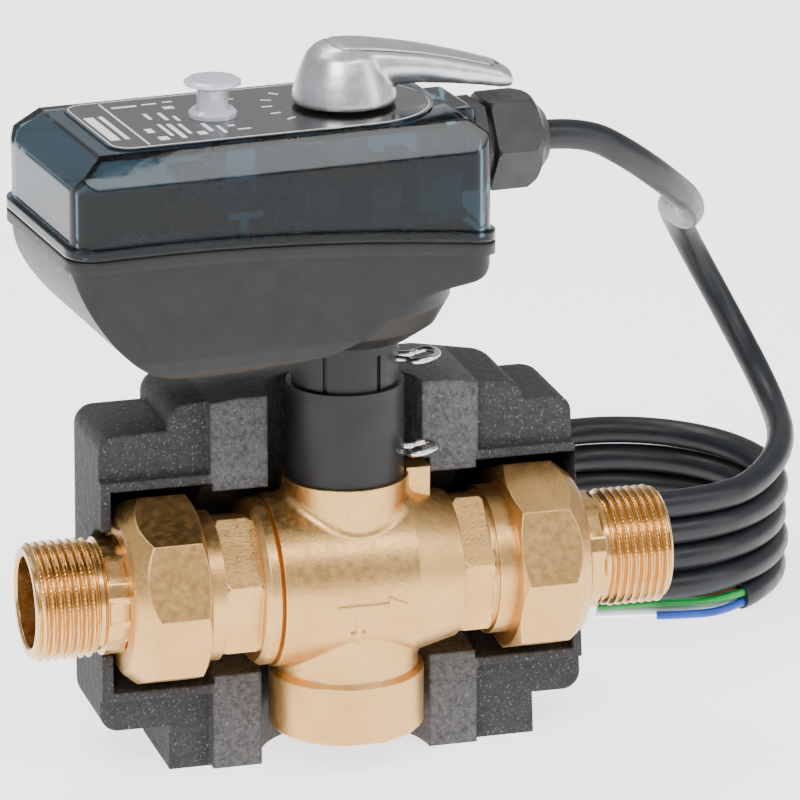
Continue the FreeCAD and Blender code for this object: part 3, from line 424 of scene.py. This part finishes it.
TAIL_END = ((72.5, 11.4), (72.5, 10.6))


def thread_radius(x, angle, end):
    """Right-hand thread; x is signed, end is the distance to the free end."""
    phase = (x / THREAD_PITCH - angle / (2 * pi)) % 1.0
    hill = abs(2 * phase - 1)
    cut = min(max((hill - FLANK_FROM) / FLANK_SHARE, 0.0), 1.0)
    radius = THREAD_R - THREAD_DEPTH * cut
    if cut < CREST_CUT:
        radius -= TOOTH_DEPTH * (0.5 + 0.5 * cos(TEETH * angle)) * (1 - cut / CREST_CUT)
    chamfer = THREAD_R - CHAMFER + end
    runout = RUNOUT_R + (THREAD_TO - THREAD_FROM - end) * RUNOUT_SLOPE
    return min(radius, chamfer, runout)


def flat_radius(radius, angle):
    """Radius of a turned barrel with flats milled on it."""
    step = 2 * pi / FLATS
    off = (angle + step / 2) % step - step / 2
    return min(radius, BARREL_FLATS / 2 / cos(off))


def tail_rings(side):
    """Closed section of the tail-piece as rings of (distance out, radius)."""
    rings = [[(x, r) for _ in range(AROUND)] for x, r in TAIL_START]
    angles = [2 * pi * i / AROUND for i in range(AROUND)]
    rings += [[(x, flat_radius(r, a)) for a in angles] for x, r in TAIL_FLATS]
    rings += [[(x, r) for _ in angles] for x, r in TAIL_GROOVE]
    count = round((THREAD_TO - THREAD_FROM) / THREAD_PITCH * ROWS_PER_PITCH)
    for row in range(count + 1):
        x = THREAD_FROM + (THREAD_TO - THREAD_FROM) * row / count
        rings.append([(x, thread_radius(side * x, a, THREAD_TO - x)) for a in angles])
    rings += [[(x, r) for _ in angles] for x, r in TAIL_END]
    return rings, angles


def make_tailpiece(name, side):
    rings, angles = tail_rings(side)
    points = [at(side * x, r * cos(a), r * sin(a))
              for ring in rings for (x, r), a in zip(ring, angles)]
    faces = ring_faces(len(rings), AROUND, True)
    if side > 0:
        faces = [face[::-1] for face in faces]
    add("threaded_" + name, mesh_of(name, points, faces, 38), "valve", "brass", "turned",
        (name,))


make_tailpiece("tailpiece_right", 1)
make_tailpiece("tailpiece_left", -1)

# ---------------------------------------------------------------- hand lever
# Arm: distance from the stem axis, top height, bottom height, half width
ARM = (
    (-6.0, 118.6, 109.0, 6.6), (-2.4, 121.2, 109.4, 7.6), (3.0, 121.2, 110.4, 7.9),
    (9.0, 120.2, 111.4, 7.7), (16.0, 118.9, 111.2, 7.4), (22.6, 117.3, 110.4, 7.1),
    (30.0, 115.2, 109.3, 6.7), (34.6, 113.7, 108.4, 6.3), (36.8, 112.6, 108.2, 5.6),
    (37.8, 111.2, 108.4, 4.4),
)
HUB = ((0.05, 108.0), (11.4, 108.0), (11.5, 108.8), (11.2, 110.4), (10.4, 113.2), (9.4, 116.0),
       (8.2, 118.6), (6.4, 120.4), (3.6, 121.4), (0.05, 121.7))
HUB_STEPS = 48
# Section across the arm: share of the half width, share of the height from the top
SECTION = ((0.0, 0.0), (0.45, 0.015), (0.74, 0.07), (0.90, 0.20), (1.0, 0.42), (0.98, 0.66),
           (0.82, 0.90), (0.50, 1.0), (0.0, 1.0))
CAP_SHARE = 0.74                # width of the pressed-in cap against the arm
CAP_GAP = 0.35
CAP_DEPTH = 1.0
CAP_RISE = 0.1
CAP_CROWN = 0.45                # how far the cap's sides fall below its middle
CAP_END = 0.55                  # width of the cap's end rows against the others
CAP_FROM = -3.4
CAP_TO = 34.6
CAP_REACH = (-2.0, 1.0, 5.0, 9.0, 13.0, 17.0, 21.0, 25.0, 29.0, 32.4)
CAP_ACROSS = (-1.0, -0.94, -0.6, 0.0, 0.6, 0.94, 1.0)
POCKET_DEPTH = 1.1
POCKET_RISE = 4.0
LEVER_VOXEL = 0.42
LEVER_SMOOTH = {"factor": 0.6, "iterations": 10}


def arm_between(x):
    """Top height and half width of the arm at x, by straight interpolation."""
    for low, high in zip(ARM, ARM[1:]):
        if low[0] <= x <= high[0]:
            share = (x - low[0]) / (high[0] - low[0])
            return [low[i] + (high[i] - low[i]) * share for i in (1, 3)]
    return ARM[-1][1], ARM[-1][3]


def lever_solid():
    """Arm and hub as two closed shells that overlap."""
    section = list(SECTION) + [(-y, z) for y, z in SECTION[-2:0:-1]]
    around = len(section)
    points = []
    for x, top, bottom, half in ARM:
        points += [on_actuator(x, half * y, top - (top - bottom) * z) for y, z in section]
    faces = ring_faces(len(ARM), around, False) + end_faces(len(ARM), around)
    first = len(points)
    angles = [2 * pi * i / HUB_STEPS for i in range(HUB_STEPS)]
    for r, z in HUB:
        points += [on_actuator(r * cos(a), r * sin(a), z) for a in angles]
    faces += moved(ring_faces(len(HUB), HUB_STEPS, False), first)
    faces += moved(end_faces(len(HUB), HUB_STEPS), first)
    return mesh_of("lever_solid", points, faces)


def cap_solid(grow, depth, rise):
    """Crowned slab that follows the top of the arm."""
    reach = (CAP_FROM - grow, *CAP_REACH, CAP_TO + grow)
    points = []
    for i, x in enumerate(reach):
        top, half = arm_between(x)
        taper = CAP_END if i in (0, len(reach) - 1) else 1.0
        width = half * CAP_SHARE * taper + grow
        points += [on_actuator(x, width * y, top + rise - CAP_CROWN * y * y) for y in CAP_ACROSS]
        points += [on_actuator(x, width * y, top - depth) for y in reversed(CAP_ACROSS)]
    around = 2 * len(CAP_ACROSS)
    faces = ring_faces(len(reach), around, False) + end_faces(len(reach), around)
    return mesh_of("cap_solid", points, [face[::-1] for face in faces])


def make_lever():
    cutter = bpy.data.objects.new("cap_pocket", cap_solid(CAP_GAP, POCKET_DEPTH, POCKET_RISE))
    bpy.context.collection.objects.link(cutter)
    body = settled("lever_form", lever_solid(), (
        ("REMESH", {"mode": "VOXEL", "voxel_size": LEVER_VOXEL * MM, "use_smooth_shade": True}),
        ("SMOOTH", LEVER_SMOOTH),
        ("BOOLEAN", {"operation": "DIFFERENCE", "object": cutter, "solver": "EXACT"})))
    bpy.data.objects.remove(cutter)
    body.set_sharp_from_angle(angle=radians(50))
    add("hand_lever", body, "drive_line", "lever_silver", replaces=("manual_lever",))
    cap = settled("cap_form", cap_solid(0.0, CAP_DEPTH, CAP_RISE), (
        ("SUBSURF", {"levels": 2, "render_levels": 2}),))
    cap.shade_smooth()
    add("lever_cap", cap, "drive_line", "lever_silver", replaces=("lever_insert",))


make_lever()

# ---------------------------------------------------------------- label print
_label_low, _label_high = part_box("label_plate")
LABEL_Z = (_label_high.z - PIPE_Z) / MM
PRINT_HEIGHT = 0.06
PRINT_SINK = 0.01
LABEL_HALF = 19.2
LABEL_LEFT = -58.5
LABEL_CORNER = 5.0
BORDER = (0.7, 0.95)            # insets of the border line's two sides
# Bars and blocks: centre x, centre y, size along x, size along y
BARS = (
    (-50.0, 0.0, 0.45, 34.0), (-55.6, -2.0, 2.2, 19.0), (-52.9, -2.0, 1.0, 19.0),
    (-45.6, 13.2, 5.6, 1.1), (-39.8, 13.6, 3.4, 0.7), (-35.6, 14.0, 2.2, 0.7),
    (-36.8, 9.4, 2.4, 2.0), (-45.6, -13.6, 2.2, 2.6), (-36.6, -12.4, 1.9, 2.4),
    (-46.6, -7.0, 1.6, 3.2), (-43.2, -7.5, 0.8, 9.5), (-41.2, -9.0, 1.1, 11.5),
    (-39.0, -8.0, 0.8, 8.0), (-43.4, 4.0, 0.9, 4.6), (-40.2, 3.0, 0.9, 6.0),
    (-38.0, 0.5, 0.8, 4.0), (-34.2, -8.5, 1.0, 6.5), (-31.8, -11.0, 0.8, 6.0),
    (-29.0, -9.0, 1.6, 1.0), (-27.2, -12.4, 3.0, 0.7), (-25.0, 13.0, 1.0, 2.6),
    (-22.2, 11.4, 1.8, 0.8),
)
TICK_ANGLES = (134, 153, 171, 190, 208)
TICK_INNER = 15.8
TICK_OUTER = 18.2
TICK_HALF = 0.3


def bar_corners(x, y, along, across):
    return [(x - along / 2, y - across / 2), (x + along / 2, y - across / 2),
            (x + along / 2, y + across / 2), (x - along / 2, y + across / 2)]


def tick_corners(angle):
    c, s = cos(radians(angle)), sin(radians(angle))
    return [(r * c - w * s, r * s + w * c)
            for r, w in ((TICK_INNER, -TICK_HALF), (TICK_OUTER, -TICK_HALF),
                         (TICK_OUTER, TICK_HALF), (TICK_INNER, TICK_HALF))]


def label_outline(inset):
    """Left end with round corners, right end a half circle about the lever."""
    corner = LABEL_CORNER - inset
    x = LABEL_LEFT + LABEL_CORNER
    y = LABEL_HALF - LABEL_CORNER
    quarter = [radians(15 * i) for i in range(7)]
    points = [(x - corner * sin(a), y + corner * cos(a)) for a in quarter]
    points += [(x - corner * cos(a), -y - corner * sin(a)) for a in quarter]
    radius = LABEL_HALF - inset
    points += [(radius * sin(a), -radius * cos(a)) for a in (radians(5 * i) for i in range(37))]
    return points


def make_print():
    """Raised white ink: border line, bars, blocks and ticks, with no lettering."""
    points = []
    faces = []
    for corners in [bar_corners(*bar) for bar in BARS] + [tick_corners(a) for a in TICK_ANGLES]:
        first = len(points)
        points += [on_actuator(x, y, LABEL_Z - PRINT_SINK) for x, y in corners]
        points += [on_actuator(x, y, LABEL_Z + PRINT_HEIGHT) for x, y in corners]
        faces.append(tuple(first + 4 + i for i in range(4)))
        faces += [(first + i, first + (i + 1) % 4, first + 4 + (i + 1) % 4, first + 4 + i)
                  for i in range(4)]
    outer, inner = [label_outline(inset) for inset in BORDER]
    first = len(points)
    rings = ((outer, LABEL_Z - PRINT_SINK), (outer, LABEL_Z + PRINT_HEIGHT),
             (inner, LABEL_Z + PRINT_HEIGHT), (inner, LABEL_Z - PRINT_SINK))
    for ring, z in rings:
        points += [on_actuator(x, y, z) for x, y in ring]
    faces += moved(ring_faces(len(rings), len(outer), False), first)
    add("label_print", mesh_of("label_print", points, faces), "valve", "button_white",
        "print_white")


make_print()

# ---------------------------------------------------------------- spring and clips
CLUTCH_AT = (-30.0, 0.0)
SPRING_BOTTOM = 91.5
SPRING_TOP = 100.0
SPRING_R = 2.65
SPRING_WIRE_D = 0.75
SPRING_TURNS = 5
SPRING_STEPS = 16               # points per turn
SPRING_FLAT = 12                # points of each flat end coil


def make_spring():
    steps = SPRING_STEPS * SPRING_TURNS
    low = SPRING_BOTTOM + SPRING_WIRE_D / 2
    high = SPRING_TOP - SPRING_WIRE_D / 2
    points = []
    for i in range(steps + 1):
        a = 2 * pi * SPRING_TURNS * i / steps
        rise = min(max((i - SPRING_FLAT) / (steps - 2 * SPRING_FLAT), 0.0), 1.0)
        x = CLUTCH_AT[0] + SPRING_R * cos(a)
        y = CLUTCH_AT[1] + SPRING_R * sin(a)
        points.append(on_actuator(x, y, low + (high - low) * rise))
    curve = smooth_curve("return_spring", points, SPRING_WIRE_D * MM)
    holder = bpy.data.objects.new("spring_form", curve)
    mesh = bpy.data.meshes.new_from_object(holder)
    bpy.data.objects.remove(holder)
    spring = add("return_spring", mesh, "valve", "spring_steel", replaces=("button_spring",))
    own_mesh(spring)


CLIP_WIRE_D = 1.5
CLIP_TURN = radians(-25.0)
CLIP_LOOP = ((11.0, 1.8), (14.2, 1.7), (15.0, 3.9), (18.4, 4.3), (20.9, 0.0), (18.4, -4.3),
             (15.0, -3.9), (14.2, -1.7), (11.0, -1.8))
CLIP_NOSE_FROM = 18.0           # past this distance the loop's nose lifts
CLIP_NOSE_LIFT = 0.8
CLIPS = (("lower_clip", 29.4, at), ("upper_clip", 50.2, on_actuator))


def make_clip(name, height, place):
    c, s = cos(CLIP_TURN), sin(CLIP_TURN)
    points = []
    for x, y in CLIP_LOOP:
        lift = CLIP_NOSE_LIFT if x > CLIP_NOSE_FROM else 0.0
        points.append(place(x * c - y * s, x * s + y * c, height + lift))
    curve = smooth_curve("spring_" + name, points, CLIP_WIRE_D * MM)
    add("spring_" + name, curve, "valve", "spring_steel", replaces=(name,))


# ---------------------------------------------------------------- cable
CABLE_D = 6.6
CORE_D = 2.0
LEAD_ROUTE = (
    (45.63, 3.99, 95.6), (55.8, 4.88, 95.6), (67.5, 8, 88.5), (80, 17.5, 78.5), (91.5, 34, 68),
    (101.5, 68, 54), (112, 113, 46), (122, 131, 32), (133, 128.5, 11), (138.9, 109.6, -6.7),
    (132.5, 82.5, -9.3), (118.5, 66, -12.9),
)
COIL_AT = (99.1, 95.1)
COIL_R = 33.4
COIL_PITCH = 6.8
COIL_START = -79.0
COIL_END = -60.0
COIL_TURNS = 4
COIL_STEPS = 15                 # control points per turn
WOBBLE = 0.35                   # how far the turns differ in radius
WOBBLE_RATE = 0.37
WOBBLE_START = 1.0
CORE_ROUTES = {
    "wire_green": ((0, -1.2, 4.5), (7, 0.2, 4), (14, 7.6, 3.4), (21, 14.2, 3.2), (29, 19.5, 3.1)),
    "wire_brown": ((0, 1.2, 4.5), (7, 3.4, 4.2), (14, 11, 3.2), (21, 17.5, 3), (27, 21.5, 2.6)),
    "wire_white": ((0, 1.2, 2.1), (7, 2.2, 1.6), (15, 9.3, 1.1), (22, 15.8, 1.1), (28, 20.6, 1.1)),
    "wire_blue": ((0, -1.2, 2.1), (7, -0.9, 1.4), (13.5, 3.6, 1.1), (19.5, 9, 1.1)),
}


def smooth_curve(name, points, diameter):
    """One open quadratic NURBS with these control points, in metres."""
    curve = bpy.data.curves.new(name, "CURVE")
    curve.dimensions = "3D"
    curve.bevel_depth = diameter / 2
    curve.bevel_resolution = 8
    curve.use_fill_caps = True
    spline = curve.splines.new("NURBS")
    spline.points.add(len(points) - 1)
    for control, point in zip(spline.points, points):
        control.co = (*point, 1)
    spline.order_u = 3
    spline.use_endpoint_u = True
    spline.resolution_u = 8
    return curve


def curve_length(curve):
    """Length of the curve's own line."""
    probe = curve.copy()
    probe.bevel_depth = 0
    holder = bpy.data.objects.new("probe", probe)
    line = bpy.data.meshes.new_from_object(holder)
    points = [v.co.copy() for v in line.vertices]
    bpy.data.objects.remove(holder)
    bpy.data.curves.remove(probe)
    return sum((b - a).length for a, b in zip(points, points[1:]))


def coil_points():
    """Turns going down clockwise, seen from above, to the cut end on the floor."""
    step = 360 / COIL_STEPS
    total = COIL_TURNS * 360 + (COIL_START - COIL_END)
    outward = COIL_R / cos(pi / COIL_STEPS)
    floor = -PIPE_Z / MM
    points = []
    turned = 0.0
    while turned < total:
        a = radians(COIL_START - turned)
        left = (total - turned) / 360
        wobble = WOBBLE * sin(radians(turned) * WOBBLE_RATE + WOBBLE_START)
        z = floor + CABLE_D / 2 + COIL_PITCH * left
        radius = outward + wobble
        points.append((COIL_AT[0] + radius * cos(a), COIL_AT[1] + radius * sin(a), z))
        turned += step
    a = radians(COIL_END)
    end = (COIL_AT[0] + COIL_R * cos(a), COIL_AT[1] + COIL_R * sin(a), floor + CABLE_D / 2)
    return points + [end]


def core_points(route):
    """A core's points, given as distance ahead, distance aside and height at the cut end."""
    a = radians(COIL_END)
    ahead = Vector((sin(a), -cos(a), 0))
    aside = Vector((ahead.y, -ahead.x, 0))
    start = Vector((COIL_AT[0] + COIL_R * cos(a), COIL_AT[1] + COIL_R * sin(a), -PIPE_Z / MM))
    return [at(*(start + ahead * f + aside * s + Vector((0, 0, h)))) for f, s, h in route]


def make_cable():
    points = [at(*p) for p in LEAD_ROUTE] + [at(*p) for p in coil_points()]
    curve = smooth_curve("mains_cable", points, CABLE_D * MM)
    cable = add("mains_cable", curve, "valve", "cable_black", replaces=("cord_lead", "cord_coil"))
    curve_length(curve)
    for node, route in CORE_ROUTES.items():
        name = node.replace("wire", "core")
        core = smooth_curve(name, core_points(route), CORE_D * MM)
        piece = add(name, core, "valve", name, replaces=(node,))
        length = curve_length(core)


make_cable()
make_spring()
for clip in CLIPS:
    make_clip(*clip)

# ---------------------------------------------------------------- stage
FLOOR_HALF = 3
FLOOR_GLOW = 2.0
FLOOR_GREYS = ((0.4, (0.86, 0.86, 0.86)), (0.6, (0.88, 0.88, 0.88)))
WORLD_COLOUR = (0.97, 0.98, 1.0, 1)
WORLD_STRENGTH = 0.6
# Lights: name, place, point aimed at, size, power
LIGHTS = (
    ("key", (-0.55, -0.75, 0.85), (0, 0, 0.07), (0.6, 0.4), 9),
    ("strip", (0.34, -0.70, 0.98), (0, 0, 0.12), (0.9, 0.16), 5),
    ("fill", (0.9, -0.6, 0.45), (0, 0, 0.07), (0.4, 0.7), 3),
    ("top", (-0.2, 0.35, 1.0), (0, 0, 0.08), (0.9, 0.4), 6),
)


def make_stage():
    mesh = bpy.data.meshes.new("floor")
    far = FLOOR_HALF
    mesh.from_pydata([(-far, -far, 0), (far, -far, 0), (far, far, 0), (-far, far, 0)], [], [(0, 1, 2, 3)])
    floor = bpy.data.objects.new("floor", mesh)
    bpy.context.collection.objects.link(floor)
    material, tree, shader = node_set("floor_pale")
    tree.links.new(ramp(tree, noise(tree, 4), FLOOR_GREYS), shader.inputs["Base Color"])
    shader.inputs["Roughness"].default_value = 0.9
    shader.inputs["Emission Color"].default_value = (1, 1, 1, 1)
    shader.inputs["Emission Strength"].default_value = FLOOR_GLOW
    mesh.materials.append(material)
    world = bpy.data.worlds.new("studio")
    bpy.context.scene.world = world
    world.use_nodes = True
    background = world.node_tree.nodes["Background"]
    background.inputs["Color"].default_value = WORLD_COLOUR
    background.inputs["Strength"].default_value = WORLD_STRENGTH


def soft_light(name, place, aim, size, power):
    light = bpy.data.lights.new(name, "AREA")
    light.shape = "RECTANGLE"
    light.size = size[0]
    light.size_y = size[1]
    light.energy = power
    lamp = bpy.data.objects.new(name, light)
    bpy.context.collection.objects.link(lamp)
    lamp.location = place
    lamp.rotation_mode = "QUATERNION"
    lamp.rotation_quaternion = (Vector(aim) - Vector(place)).to_track_quat("-Z", "Y")


make_stage()
for light in LIGHTS:
    soft_light(*light)
